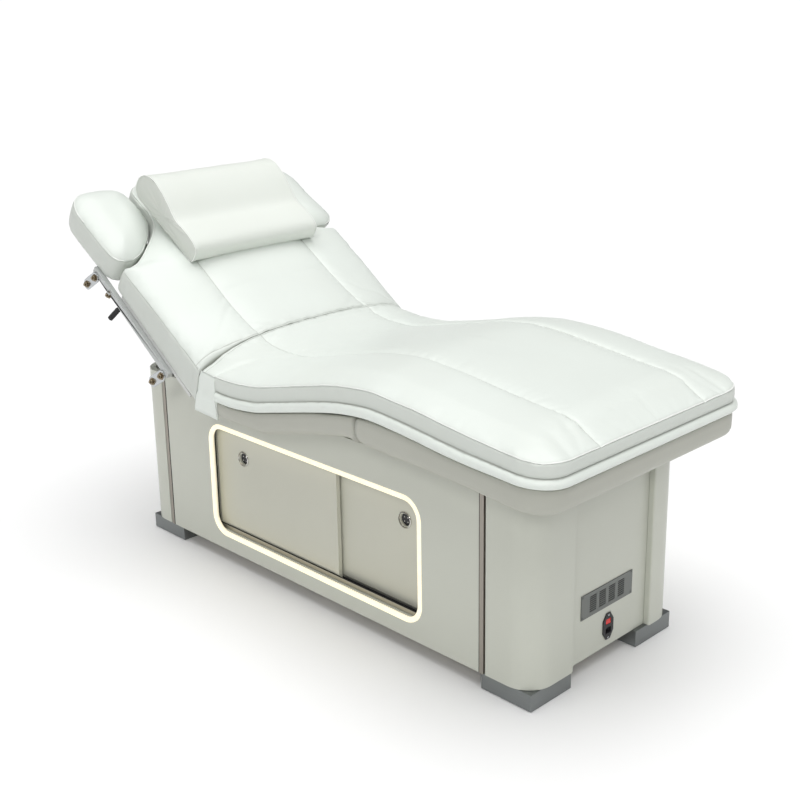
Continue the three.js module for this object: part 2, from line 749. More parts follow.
function doorJamb() {
  const outer = block(
    JAMB_X0 - JAMB_WALL,
    JAMB_X1 + JAMB_WALL,
    JAMB_FRONT_Y,
    JAMB_BACK_Y,
    FLOOR_TOP_Z + FIT_GAP,
    JAMB_Z1 + JAMB_WALL,
  );
  const hole = block(
    JAMB_X0,
    JAMB_X1,
    JAMB_FRONT_Y - CUT_OVERRUN,
    JAMB_BACK_Y + CUT_OVERRUN,
    JAMB_Z0,
    JAMB_Z1,
  );
  return piece("door_jamb", cut(outer, hole), "cabinet");
}

// Two-channel track: a base plate with three ribs, drawn upwards and mirrored for the head.
function track(name, seatZ, up) {
  const ribTop = TRACK_PLATE + TRACK_RIB_HEIGHT;
  const middle0 = TRACK_MIDDLE_Y - TRACK_RIB_THICKNESS / 2;
  const middle1 = TRACK_MIDDLE_Y + TRACK_RIB_THICKNESS / 2;
  const outline = [
    [TRACK_Y0, 0],
    [TRACK_Y1, 0],
    [TRACK_Y1, ribTop],
    [TRACK_Y1 - TRACK_RIB_THICKNESS, ribTop],
    [TRACK_Y1 - TRACK_RIB_THICKNESS, TRACK_PLATE],
    [middle1, TRACK_PLATE],
    [middle1, ribTop],
    [middle0, ribTop],
    [middle0, TRACK_PLATE],
    [TRACK_Y0 + TRACK_RIB_THICKNESS, TRACK_PLATE],
    [TRACK_Y0 + TRACK_RIB_THICKNESS, ribTop],
    [TRACK_Y0, ribTop],
  ];
  const shape = polygon(outline.map(([y, z]) => [y, seatZ + up * z]));
  return piece(name, extrudeAlong(shape, JAMB_X0 + FIT_GAP, JAMB_X1 - FIT_GAP), "aluminium");
}

function pullProfile() {
  return [
    [0, 0],
    [PULL_CUP_RADIUS - FIT_GAP, 0],
    [PULL_CUP_RADIUS - FIT_GAP, PULL_DEPTH],
    [PULL_RADIUS, PULL_DEPTH],
    [PULL_RADIUS - PULL_FLANGE / 2, PULL_DEPTH + PULL_FLANGE],
    [PULL_CUP_RADIUS - FIT_GAP - PULL_WALL, PULL_DEPTH + PULL_FLANGE],
    [PULL_CUP_RADIUS - FIT_GAP - 2 * PULL_WALL, PULL_WALL],
    [PULL_CORE_RADIUS, PULL_WALL],
    [PULL_CORE_RADIUS - PULL_WALL, PULL_DEPTH],
    [0, PULL_DEPTH],
  ];
}

// A sliding door with its edge profile at the meeting end, and its round finger pull.
function door(kind, x0, frontY, meetingSign, pullX) {
  const x1 = x0 + DOOR_LENGTH;
  const sheet = block(x0, x1, frontY, frontY + DOOR_THICKNESS, DOOR_Z0, DOOR_Z1);
  const edgeX0 = meetingSign > 0 ? x1 - DOOR_EDGE_WIDTH : x0;
  const edge = block(
    edgeX0,
    edgeX0 + DOOR_EDGE_WIDTH,
    frontY - DOOR_EDGE_PROUD,
    frontY + DOOR_THICKNESS,
    DOOR_Z0 + TRACK_RIB_HEIGHT,
    DOOR_Z1 - TRACK_RIB_HEIGHT,
  );
  const hole = rodAcross(
    PULL_CUP_RADIUS,
    frontY - CUT_OVERRUN,
    frontY + DOOR_THICKNESS + CUT_OVERRUN,
    pullX,
    PULL_CENTRE_Z,
  );
  const pull = turned(pullProfile()).rotateX(Math.PI);
  const seatY = frontY - FIT_GAP + PULL_DEPTH;
  pull.translate(pullX, seatY, PULL_CENTRE_Z);
  return [
    piece("door_" + kind, cut(join(sheet, edge), hole), "cabinet"),
    piece("pull_" + kind, pull, "chrome"),
  ];
}

// Floor board with the storage space's two partitions, glued up as one carcass.
function carcass() {
  const y0 = -SIDE_INNER_Y + FIT_GAP;
  const y1 = SIDE_INNER_Y - FIT_GAP;
  const endX = END_FACE_X - PANEL_THICKNESS - FIT_GAP;
  const cornerX = HALF_LENGTH - COLUMN_RADIUS;
  const cornerY = SIDE_INNER_Y - CORNER_CHAMFER;
  const outline = polygon([
    [-cornerX, y0],
    [cornerX, y0],
    [endX, -cornerY],
    [endX, cornerY],
    [cornerX, y1],
    [-cornerX, y1],
    [-endX, cornerY],
    [-endX, -cornerY],
  ]);
  const floor = extrudeUp(outline, FOOT_HEIGHT, FLOOR_TOP_Z);
  const partition = (x0) =>
    block(
      x0,
      x0 + CARCASS_BOARD,
      JAMB_BACK_Y + FIT_GAP,
      y1,
      FLOOR_TOP_Z - WELD_SINK,
      CARCASS_PARTITION_TOP_Z,
    );
  return piece(
    "carcass",
    join(
      floor,
      partition(JAMB_X0 - CARCASS_BOARD),
      partition(JAMB_X1),
    ),
    "board",
  );
}

function endPanels() {
  const inner = END_FACE_X - PANEL_THICKNESS;
  const y = HALF_WIDTH - COLUMN_RADIUS - FIT_GAP;
  const footSheet = block(inner, END_FACE_X, -y, y, FOOT_HEIGHT, CABINET_TOP_Z);
  const ventHole = block(
    inner - CUT_OVERRUN,
    END_FACE_X + CUT_OVERRUN,
    VENT_CENTRE_Y - VENT_LENGTH / 2 + VENT_SLOT_LENGTH / 2,
    VENT_CENTRE_Y + VENT_LENGTH / 2 - VENT_SLOT_LENGTH / 2,
    VENT_CENTRE_Z - (VENT_ROWS * VENT_SLOT_PITCH_Z) / 2,
    VENT_CENTRE_Z + (VENT_ROWS * VENT_SLOT_PITCH_Z) / 2,
  );
  const inletHole = block(
    inner - CUT_OVERRUN,
    END_FACE_X + CUT_OVERRUN,
    INLET_CENTRE_Y - INLET_BODY_WIDTH / 2 - FIT_GAP,
    INLET_CENTRE_Y + INLET_BODY_WIDTH / 2 + FIT_GAP,
    INLET_CENTRE_Z - INLET_BODY_HEIGHT / 2 - FIT_GAP,
    INLET_CENTRE_Z + INLET_BODY_HEIGHT / 2 + FIT_GAP,
  );
  const headSheet = block(-END_FACE_X, -inner, -y, y, FOOT_HEIGHT, CABINET_TOP_Z);
  return [
    piece("end_panel_foot", cut(footSheet, ventHole, inletHole), "cabinet"),
    piece("end_panel_head", headSheet, "cabinet"),
  ];
}

// Pressed vent plate: four columns of fine slots.
function ventGrille() {
  const x0 = END_FACE_X + FIT_GAP;
  const plate = block(
    x0,
    x0 + VENT_THICKNESS,
    VENT_CENTRE_Y - VENT_LENGTH / 2,
    VENT_CENTRE_Y + VENT_LENGTH / 2,
    VENT_CENTRE_Z - VENT_HEIGHT / 2,
    VENT_CENTRE_Z + VENT_HEIGHT / 2,
  );
  const slots = [];
  for (let column = 0; column < VENT_COLUMNS; column += 1) {
    const y = VENT_CENTRE_Y + (column - (VENT_COLUMNS - 1) / 2) * VENT_SLOT_PITCH_Y;
    for (let row = 0; row < VENT_ROWS; row += 1) {
      const z = VENT_CENTRE_Z + (row - (VENT_ROWS - 1) / 2) * VENT_SLOT_PITCH_Z;
      slots.push(
        block(
          x0 - CUT_OVERRUN,
          x0 + VENT_THICKNESS + CUT_OVERRUN,
          y - VENT_SLOT_LENGTH / 2,
          y + VENT_SLOT_LENGTH / 2,
          z - VENT_SLOT_HEIGHT / 2,
          z + VENT_SLOT_HEIGHT / 2,
        ),
      );
    }
  }
  return piece("vent_grille", cut(plate, ...slots), "steel");
}

const ROCKER_Z = INLET_CENTRE_Z + INLET_BODY_HEIGHT / 2 - ROCKER_HEIGHT / 2 - 2 * INLET_PIN;
const SOCKET_Z = INLET_CENTRE_Z - INLET_BODY_HEIGHT / 2 + INLET_SOCKET_HEIGHT / 2 + 2 * INLET_PIN;
const INLET_FACE_X = END_FACE_X + FIT_GAP + INLET_FLANGE_THICKNESS;

// Mains inlet: an eared flange, a body through the panel, a socket with three pins, a rocker well.
function powerInlet() {
  const flangeX = END_FACE_X + FIT_GAP;
  const halfEar = INLET_FLANGE_EAR / 2;
  const halfW = INLET_FLANGE_WIDTH / 2;
  const halfH = INLET_FLANGE_HEIGHT / 2;
  const bodyHalf = INLET_BODY_HEIGHT / 2;
  const flange = extrudeAlong(
    polygon([
      [INLET_CENTRE_Y - halfEar, INLET_CENTRE_Z - halfH],
      [INLET_CENTRE_Y + halfEar, INLET_CENTRE_Z - halfH],
      [INLET_CENTRE_Y + halfW, INLET_CENTRE_Z - bodyHalf + halfEar],
      [INLET_CENTRE_Y + halfW, INLET_CENTRE_Z + bodyHalf - halfEar],
      [INLET_CENTRE_Y + halfEar, INLET_CENTRE_Z + halfH],
      [INLET_CENTRE_Y - halfEar, INLET_CENTRE_Z + halfH],
      [INLET_CENTRE_Y - halfW, INLET_CENTRE_Z + bodyHalf - halfEar],
      [INLET_CENTRE_Y - halfW, INLET_CENTRE_Z - bodyHalf + halfEar],
    ]),
    flangeX,
    INLET_FACE_X,
  );
  const body = block(
    INLET_FACE_X - INLET_BODY_DEPTH,
    flangeX + WELD_SINK,
    INLET_CENTRE_Y - INLET_BODY_WIDTH / 2,
    INLET_CENTRE_Y + INLET_BODY_WIDTH / 2,
    INLET_CENTRE_Z - bodyHalf,
    INLET_CENTRE_Z + bodyHalf,
  );
  const well = block(
    INLET_FACE_X - 2 * ROCKER_DEPTH,
    INLET_FACE_X + CUT_OVERRUN,
    INLET_CENTRE_Y - ROCKER_WIDTH / 2 - RUN_GAP,
    INLET_CENTRE_Y + ROCKER_WIDTH / 2 + RUN_GAP,
    ROCKER_Z - ROCKER_HEIGHT / 2 - RUN_GAP,
    ROCKER_Z + ROCKER_HEIGHT / 2 + RUN_GAP,
  );
  const socket = block(
    INLET_FACE_X - INLET_SOCKET_DEPTH,
    INLET_FACE_X + CUT_OVERRUN,
    INLET_CENTRE_Y - INLET_SOCKET_WIDTH / 2,
    INLET_CENTRE_Y + INLET_SOCKET_WIDTH / 2,
    SOCKET_Z - INLET_SOCKET_HEIGHT / 2,
    SOCKET_Z + INLET_SOCKET_HEIGHT / 2,
  );
  const pins = [-1, 0, 1].map((place) => {
    const y = INLET_CENTRE_Y + place * INLET_PIN_PITCH;
    const z = SOCKET_Z + (place === 0 ? INLET_PIN : -INLET_PIN / 2);
    return block(
      INLET_FACE_X - INLET_SOCKET_DEPTH - WELD_SINK,
      INLET_FACE_X - INLET_SOCKET_DEPTH + INLET_PIN_LENGTH,
      y - INLET_PIN / 2,
      y + INLET_PIN / 2,
      z - INLET_PIN,
      z + INLET_PIN,
    );
  });
  return piece("power_inlet", join(cut(join(flange, body), well, socket), ...pins), "black");
}

// A rocker whose two faces meet in a shallow V, pivoted on its middle.
function rockerSwitch() {
  const half = ROCKER_HEIGHT / 2;
  const dip = half * Math.tan(THREE.MathUtils.degToRad(ROCKER_TILT_DEG));
  const tilt = THREE.MathUtils.degToRad(ROCKER_TILT_DEG);
  const x = INLET_FACE_X - dip;
  const outline = polygon([
    [x - ROCKER_DEPTH, ROCKER_Z - half / 2],
    [x + dip, ROCKER_Z - half],
    [x, ROCKER_Z],
    [x + dip, ROCKER_Z + half],
    [x - ROCKER_DEPTH, ROCKER_Z + half / 2],
  ]);
  const y0 = INLET_CENTRE_Y - ROCKER_WIDTH / 2;
  const body = extrudeAcross(outline, y0, y0 + ROCKER_WIDTH);
  const pivotX = x - ROCKER_DEPTH / 2;
  body.translate(-pivotX, 0, -ROCKER_Z).rotateY(-tilt / 2).translate(pivotX, 0, ROCKER_Z);
  return piece("rocker_switch", body, "red");
}

function controlBox() {
  const z0 = FLOOR_TOP_Z + FIT_GAP;
  const x0 = END_FACE_X - PANEL_THICKNESS - CONTROL_END_GAP - CONTROL_LENGTH;
  const y0 = SIDE_INNER_Y - CONTROL_SIDE_GAP - CONTROL_WIDTH;
  const body = block(x0, x0 + CONTROL_LENGTH, y0, y0 + CONTROL_WIDTH, z0, z0 + CONTROL_HEIGHT);
  const pitch = CONTROL_WIDTH / (CONTROL_FIN_COUNT + 1);
  const grooves = Array.from({ length: CONTROL_FIN_COUNT }, (unused, i) => {
    const y = y0 + (i + 1) * pitch;
    return block(
      x0 - CUT_OVERRUN,
      x0 + CONTROL_LENGTH + CUT_OVERRUN,
      y - CONTROL_FIN_THICKNESS / 2,
      y + CONTROL_FIN_THICKNESS / 2,
      z0 + CONTROL_HEIGHT - CONTROL_FIN_DEPTH,
      z0 + CONTROL_HEIGHT + CUT_OVERRUN,
    );
  });
  return piece("control_box", cut(body, ...grooves), "black");
}

// Backrest's own frame: first axis up the back, second towards the near side, third off its seam.
const BACK_ANGLE = THREE.MathUtils.degToRad(BACK_ANGLE_DEG);
const backAlong = new THREE.Vector3(-Math.cos(BACK_ANGLE), 0, Math.sin(BACK_ANGLE));
const backNormal = new THREE.Vector3(Math.sin(BACK_ANGLE), 0, Math.cos(BACK_ANGLE));

function backPoint(along, off) {
  return new THREE.Vector3(BACK_START_X, 0, BACK_START_Z)
    .addScaledVector(backAlong, along)
    .addScaledVector(backNormal, off);
}

const BACK_HINGE = backPoint(BACK_HINGE_ALONG, -BACK_HINGE_DROP);

// Underside of the backrest's board, measured from the seam plane.
function backUnderside(along) {
  return -BACK_HEAVY_DEPTH + BACK_TAPER_SHARE * along;
}

// Ears with a fused pin that carry one side's hinge barrel.
function hingeEar(x, z, sideSign) {
  const y0 = Math.min(sideSign * EAR_INNER_Y, sideSign * EAR_OUTER_Y);
  const plate = extrudeAcross(
    polygon([
      [x - FRAME_EAR_WIDTH / 2, CROSS_TOP_Z - WELD_SINK],
      [x + FRAME_EAR_WIDTH / 2, CROSS_TOP_Z - WELD_SINK],
      [x + FRAME_EAR_RADIUS, z],
      [x - FRAME_EAR_RADIUS, z],
    ]),
    y0,
    y0 + FRAME_EAR_THICKNESS,
  );
  const head = rodAcross(FRAME_EAR_RADIUS, y0, y0 + FRAME_EAR_THICKNESS, x, z);
  const reach = sideSign * (MOVING_TUBE_INNER_Y - RUN_GAP);
  const pin = rodAcross(
    FRAME_PIN_RADIUS,
    Math.min(sideSign * EAR_OUTER_Y, reach) + (sideSign > 0 ? 0 : WELD_SINK),
    Math.max(sideSign * EAR_OUTER_Y, reach) - (sideSign > 0 ? WELD_SINK : 0),
    x,
    z,
  );
  return join(plate, head, pin);
}

function platformFrame() {
  const endX = HALF_LENGTH - COLUMN_RADIUS;
  const outer = SIDE_INNER_Y - FIT_GAP;
  const inner = outer - FRAME_TUBE;
  const parts = [];
  SIDES.forEach(([, sign]) => {
    const y0 = Math.min(sign * outer, sign * inner);
    const top = CABINET_TOP_Z;
    parts.push(block(-endX, endX, y0, y0 + FRAME_TUBE, CROSS_TOP_Z - WELD_SINK, top));
    const postTop = seatWebBottom(SEAT_POST_X - FRAME_TUBE / 2) - 2 * RUN_GAP;
    parts.push(
      block(
        SEAT_POST_X - FRAME_TUBE / 2,
        SEAT_POST_X + FRAME_TUBE / 2,
        y0,
        y0 + FRAME_TUBE,
        top - WELD_SINK,
        postTop,
      ),
    );
    parts.push(hingeEar(BACK_HINGE.x, BACK_HINGE.z, sign));
    parts.push(hingeEar(KNEE_X, KNEE_Z, sign));
  });
  [BACK_HINGE.x, KNEE_X].forEach((x) => {
    const half = FRAME_EAR_WIDTH / 2;
    parts.push(block(x - half, x + half, -outer, outer, CROSS_BOTTOM_Z, CROSS_TOP_Z));
  });
  return piece("platform_frame", join(...parts), "darkSteel");
}

// Contoured seat and leg cushions
const KNEE_HALF_OPENING = THREE.MathUtils.degToRad(KNEE_OPENING_DEG / 2);

function kneeFace(sign, extra) {
  return (z) => KNEE_X + sign * (extra + (z - KNEE_Z) * Math.tan(KNEE_HALF_OPENING));
}

function mitreFace(offset) {
  const lean = BACK_MITRE_LEAN / BACK_MITRE_DROP;
  return (z) => SEAT_HEAD_X + offset - (SEAT_HEAD_Z - z) * lean;
}

const FOOT_EDGE_PATH = [
  [KNEE_X - COUCH_LENGTH, -COUCH_HALF],
  [COUCH_FOOT_X - COUCH_CORNER_RADIUS, -COUCH_HALF],
  [COUCH_FOOT_X - COUCH_CORNER_RADIUS / 4, -COUCH_HALF + COUCH_CORNER_RADIUS / 4],
  [COUCH_FOOT_X, -COUCH_HALF + COUCH_CORNER_RADIUS],
  [COUCH_FOOT_X, COUCH_HALF - COUCH_CORNER_RADIUS],
  [COUCH_FOOT_X - COUCH_CORNER_RADIUS / 4, COUCH_HALF - COUCH_CORNER_RADIUS / 4],
  [COUCH_FOOT_X - COUCH_CORNER_RADIUS, COUCH_HALF],
  [KNEE_X - COUCH_LENGTH, COUCH_HALF],
];

function couchCrown(x, y) {
  const sideways = bulge(COUCH_HALF - Math.abs(y), CROWN_REACH);
  const round = bulge(distanceToPath(x, y, FOOT_EDGE_PATH), CROWN_END_REACH, 2);
  const crease = bulge(x - SEAT_HEAD_X, CROWN_END_REACH, 2);
  const fromCrease = CROWN_CREASE_SHARE + (1 - CROWN_CREASE_SHARE) * crease;
  const edge = sideways * Math.min(1, round * 2);
  const end = x > KNEE_X ? bulge(COUCH_FOOT_X - x, CROWN_END_REACH, 2) : 1;
  const held = Math.min(edge, sideways) * end * fromCrease;
  return CROWN_HEIGHT * held - channelDip(y) * Math.min(1, held * 2);
}

// Side of the couch cushions from the seam down: boxing drawn in, a groove, then the padded roll.
function couchLevels() {
  const down = (drop) => (x) => seamHeight(x) - drop;
  const rollMiddle = BOXING_DEPTH + ROLL_DEPTH / 2;
  return [
    { inset: 0, height: down(0) },
    { inset: BOXING_DRAW, height: down(BOXING_DEPTH / 2) },
    { inset: ROLL_GROOVE, height: down(BOXING_DEPTH) },
    { inset: 1, height: down(BOXING_DEPTH + ROLL_DEPTH / 5) },
    { inset: 0, height: down(rollMiddle) },
    { inset: 1, height: down(rollMiddle + ROLL_DEPTH / 4) },
    { inset: ROLL_GROOVE, height: down(COUCH_SIDE_DEPTH) },
  ];
}

function couchCushion(name, rows, ends, wedge = false) {
  const geometry = padded({
    rows,
    wedge,
    shares: crossShares(COUCH_HALF),
    levels: couchLevels(),
    top: couchCrown,
    ends,
  });
  return piece(name, geometry, "leather");
}

const KNEE_TOP_REACH =
  (seamHeight(KNEE_X) + CROWN_HEIGHT - KNEE_Z) * Math.tan(KNEE_HALF_OPENING) + 2 * RUN_GAP;

const SEAT_STATIONS = evenly(SEAT_HEAD_X, KNEE_X - KNEE_TOP_REACH, SEAT_ROWS);
const LEG_STATIONS = evenly(KNEE_X + KNEE_TOP_REACH, COUCH_FOOT_X - COUCH_CORNER_RADIUS, LEG_ROWS);

function roundedFootRows(stations) {
  const starts = stations.slice(0, -1);
  return rowsWithRoundEnd(starts, COUCH_FOOT_X, COUCH_HALF, COUCH_CORNER_RADIUS);
}

function couchCushions() {
  const seatRows = SEAT_STATIONS.map((x) => [x, COUCH_HALF]);
  const kneeRows = evenly(SEAT_STATIONS[SEAT_ROWS - 1], LEG_STATIONS[0], KNEE_ROWS).map((x) => [
    x,
    COUCH_HALF,
  ]);
  const legRows = roundedFootRows(LEG_STATIONS);
  return {
    seat: couchCushion("seat_cushion", seatRows, [mitreFace(RUN_GAP), kneeFace(-1, RUN_GAP)]),
    knee: couchCushion(
      "knee_cushion",
      kneeRows,
      [kneeFace(-1, RUN_GAP - FIT_GAP), kneeFace(1, RUN_GAP - FIT_GAP)],
      true,
    ),
    leg: couchCushion("leg_cushion", legRows, [kneeFace(1, RUN_GAP), null]),
  };
}

// Trays: a web under the cushion and a rounded skirt all round
function trayTop(x) {
  const fromKnee = Math.abs(x - KNEE_X);
  const relief = 1 - THREE.MathUtils.smoothstep(fromKnee, KNEE_RELIEF_START, KNEE_RELIEF_END);
  return seamHeight(x) - COUCH_SIDE_DEPTH - FIT_GAP - relief * KNEE_RELIEF;
}

const legLine = smoothThrough([
  [KNEE_X, trayTop(KNEE_X + KNEE_TRAY_GAP) - TRAY_WEB - RUN_GAP],
  [LEG_FRAME_END_X, trayTop(LEG_FRAME_END_X) - TRAY_WEB],
]);

function seatWebBottom(x) {
  const rested = CABINET_TOP_Z + FIT_GAP;
  const raised = trayTop(x) - TRAY_WEB;
  const ramp = THREE.MathUtils.smoothstep(x, TRAY_FLAT_END_X, TRAY_RAMP_END_X);
  return rested + (raised - rested) * ramp;
}

function traySkirtBottom(x) {
  return Math.max(TRAY_LOW_Z, trayTop(x) - TRAY_DEPTH);
}

function tray(name, rows, webBottom, ends, openEnd) {
  const shares = plainShares();
  const lowest = (x) => traySkirtBottom(x);
  const rounded = (share) => (x) =>
    lowest(x) + TRAY_ROUNDING * (1 - Math.cos((share * Math.PI) / 2));
  const shell = padded({
    rows,
    shares,
    ends,
    top: () => 0,
    levels: [
      { inset: 2 * RUN_GAP, height: (x) => trayTop(x) },
      { inset: 0, height: (x) => trayTop(x) - 4 * RUN_GAP },
      { inset: 0, height: rounded(1) },
      { inset: TRAY_ROUNDING * (1 - Math.cos(Math.PI / 6)), height: rounded(2 / 3) },
      { inset: TRAY_ROUNDING * (1 - Math.cos(Math.PI / 3)), height: rounded(1 / 3) },
      { inset: TRAY_ROUNDING * 0.8, height: rounded(0) },
    ],
  });
  const first = rows[0][0];
  const last = rows[rows.length - 1][0];
  const innerRows = evenly(
    first - (openEnd[0] ? 2 * TRAY_SKIRT : -TRAY_SKIRT),
    last + (openEnd[1] ? 2 * TRAY_SKIRT : -TRAY_SKIRT),
    HOLLOW_ROWS,
  ).map((x) => [x, COUCH_HALF - TRAY_SKIRT]);
  const hollow = padded({
    rows: innerRows,
    shares: [-1, 0, 1],
    top: () => 0,
    levels: [
      { inset: 0, height: webBottom },
      { inset: 0, height: (x) => lowest(x) - 2 * TRAY_ROUNDING },
    ],
  });
  return piece(name, cut(shell, hollow), "leather");
}

function trays() {
  const seatStations = [...SEAT_STATIONS, KNEE_X - KNEE_TRAY_GAP];
  const seatRows = seatStations.map((x) => [x, COUCH_HALF]);
  const legRows = roundedFootRows([KNEE_X + KNEE_TRAY_GAP, ...LEG_STATIONS]);
  const head = mitreFace(2 * RUN_GAP);
  return {
    seat: tray("seat_tray", seatRows, seatWebBottom, [head, null], [true, true]),
    leg: tray("leg_tray", legRows, (x) => legLine(x), [null, null], [true, false]),
  };
}

function actuatorCheeks(x, z, topZ) {
  const half = ACTUATOR_EYE_WIDTH / 2 + CHEEK_GAP;
  return SIDES.map(([, sign]) => {
    const y0 = ACTUATOR_Y + Math.min(sign * half, sign * (half + CHEEK_THICKNESS));
    const plate = block(
      x - CHEEK_HALF_LENGTH,
      x + CHEEK_HALF_LENGTH,
      y0,
      y0 + CHEEK_THICKNESS,
      z,
      topZ,
    );
    const round = rodAcross(CHEEK_HALF_LENGTH, y0, y0 + CHEEK_THICKNESS, x, z);
    const headY = ACTUATOR_Y + sign * (half + CHEEK_THICKNESS);
    const bolt = rodAcross(
      FRAME_PIN_RADIUS,
      Math.min(headY - sign * WELD_SINK, headY + sign * CHEEK_THICKNESS),
      Math.max(headY - sign * WELD_SINK, headY + sign * CHEEK_THICKNESS),
      x,
      z,
      SMALL_ROUND_SEGMENTS,
    );
    return join(plate, round, bolt);
  });
}

// Leg section's ladder frame, on barrels at the knee.
function legFrame() {
  const topAt = (x) => legLine(x) - FIT_GAP;
  const startX = KNEE_X;
  const parts = [];
  SIDES.forEach(([, sign]) => {
    const y0 = Math.min(sign * MOVING_TUBE_INNER_Y, sign * MOVING_TUBE_OUTER_Y);
    const y1 = y0 + MOVING_TUBE_WIDTH;
    const beam = extrudeAcross(
      polygon([
        [startX, topAt(startX) - LEG_FRAME_DEPTH],
        [LEG_FRAME_END_X, topAt(LEG_FRAME_END_X) - LEG_FRAME_DEPTH],
        [LEG_FRAME_END_X, topAt(LEG_FRAME_END_X)],
        [startX + KNEE_TRAY_GAP, topAt(startX + KNEE_TRAY_GAP)],
        [startX, KNEE_Z + FRAME_PIN_RADIUS],
      ]),
      y0,
      y1,
    );
    const barrel = rodAcross(BARREL_RADIUS, y0, y1, KNEE_X, KNEE_Z);
    parts.push(beam, barrel);
  });
  const strapAt = (x) => {
    const half = BACK_STRAP_WIDTH / 2;
    const inner = MOVING_TUBE_INNER_Y + WELD_SINK;
    const thick = BACK_STRAP_THICKNESS;
    return extrudeAcross(
      polygon([
        [x - half, topAt(x - half) - thick],
        [x + half, topAt(x + half) - thick],
        [x + half, topAt(x + half)],
        [x - half, topAt(x - half)],
      ]),
      -inner,
      inner,
    );
  };
  const strapX = [LEG_ACTUATOR_X, (LEG_ACTUATOR_X + REST_BAR_X) / 2, REST_BAR_X];
  const straps = strapX.map(strapAt);
  const cheekTop = topAt(LEG_ACTUATOR_X) - BACK_STRAP_THICKNESS + WELD_SINK;
  const cheeks = actuatorCheeks(LEG_ACTUATOR_X, LEG_ACTUATOR_Z, cheekTop);
  const bores = SIDES.map(([, sign]) => {
    const y0 = Math.min(sign * MOVING_TUBE_INNER_Y, sign * MOVING_TUBE_OUTER_Y) - CUT_OVERRUN;
    const y1 = y0 + MOVING_TUBE_WIDTH + 2 * CUT_OVERRUN;
    return rodAcross(FRAME_PIN_RADIUS + BARREL_CLEARANCE, y0, y1, KNEE_X, KNEE_Z);
  });
  return piece("leg_frame", cut(join(...parts, ...straps, ...cheeks), ...bores), "darkSteel");
}

// Rubber-topped bar on the foot-end panel where the lowered leg section comes to rest.
function legRestBar() {
  const top = legLine(REST_BAR_X + REST_BAR_WIDTH / 2) - FIT_GAP - LEG_FRAME_DEPTH - FIT_GAP;
  const half = REST_BAR_WIDTH / 2;
  const x1 = HALF_LENGTH - PANEL_THICKNESS;
  const y = MOVING_TUBE_OUTER_Y + REST_BAR_OVERHANG;
  const shape = polygon([
    [x1 - 2 * half, CABINET_TOP_Z + FIT_GAP],
    [x1, CABINET_TOP_Z + FIT_GAP],
    [x1, top - 2 * RUN_GAP],
    [x1 - 2 * RUN_GAP, top],
    [x1 - 2 * half + 2 * RUN_GAP, top],
    [x1 - 2 * half, top - 2 * RUN_GAP],
  ]);
  return piece("leg_rest_bar", extrudeAcross(shape, -y, y), "black");
}

const BACK_MOTOR_X = JAMB_X0 - CARCASS_BOARD - BACK_MOTOR_GAP;
const LEG_MOTOR_X = JAMB_X1 + CARCASS_BOARD + LEG_MOTOR_GAP;

// Actuators are drawn upright from their lower pivot and then leaned to meet their lever.
function actuator(name, baseX, baseZ, tipX, tipZ, tubeLength, motorSign) {
  const parent = new THREE.Group();
  const length = Math.hypot(tipX - baseX, tipZ - baseZ);
  const eyeHalf = ACTUATOR_EYE_WIDTH / 2;
  const tubeStart = ACTUATOR_GEAR_DEPTH / 2;
  const tube = rodUp(ACTUATOR_TUBE_RADIUS, tubeStart, tubeLength);
  const collar = rodUp(ACTUATOR_TUBE_RADIUS + 2 * RUN_GAP, tubeLength - BACK_STRAP_THICKNESS, tubeLength);
  const gear = block(
    Math.min(-motorSign * ACTUATOR_MOTOR_RADIUS, motorSign * ACTUATOR_MOTOR_OFFSET),
    Math.max(-motorSign * ACTUATOR_MOTOR_RADIUS, motorSign * ACTUATOR_MOTOR_OFFSET),
    -ACTUATOR_MOTOR_RADIUS,
    ACTUATOR_MOTOR_RADIUS,
    ACTUATOR_EYE_RADIUS,
    ACTUATOR_EYE_RADIUS + ACTUATOR_GEAR_DEPTH,
  );
  const motor = rodUp(
    ACTUATOR_MOTOR_RADIUS,
    ACTUATOR_EYE_RADIUS,
    ACTUATOR_EYE_RADIUS + ACTUATOR_MOTOR_LENGTH,
    motorSign * ACTUATOR_MOTOR_OFFSET,
    0,
  );
  const lowerEye = rodAcross(ACTUATOR_EYE_RADIUS, -eyeHalf, eyeHalf, 0, 0);
  const lowerNeck = block(
    -ACTUATOR_EYE_RADIUS,
    ACTUATOR_EYE_RADIUS,
    -eyeHalf,
    eyeHalf,
    0,
    ACTUATOR_EYE_RADIUS + WELD_SINK,
  );
  const bore = rodUp(
    ACTUATOR_ROD_RADIUS + ACTUATOR_BORE_CLEARANCE,
    ACTUATOR_EYE_RADIUS + ACTUATOR_GEAR_DEPTH,
    tubeLength + CUT_OVERRUN,
  );
  const pinHole = rodAcross(
    FRAME_PIN_RADIUS + BARREL_CLEARANCE,
    -eyeHalf - CUT_OVERRUN,
    eyeHalf + CUT_OVERRUN,
    0,
    0,
  );
  const body = cut(join(tube, collar, gear, motor, lowerEye, lowerNeck), bore, pinHole);
  const rodEnd = length - ACTUATOR_EYE_RADIUS + 2 * WELD_SINK;
  const rod = rodUp(ACTUATOR_ROD_RADIUS, ACTUATOR_ROD_START, rodEnd);
  const eye = rodAcross(ACTUATOR_EYE_RADIUS, -eyeHalf, eyeHalf, 0, length);
  const lean = Math.atan2(tipX - baseX, tipZ - baseZ);
  parent.position.set(baseX, ACTUATOR_Y, baseZ);
  parent.rotation.y = lean;
  parent.add(piece(name + "_body", body, "black"));
  parent.add(piece(name + "_rod", join(rod, eye), "steel"));
  return parent;
}

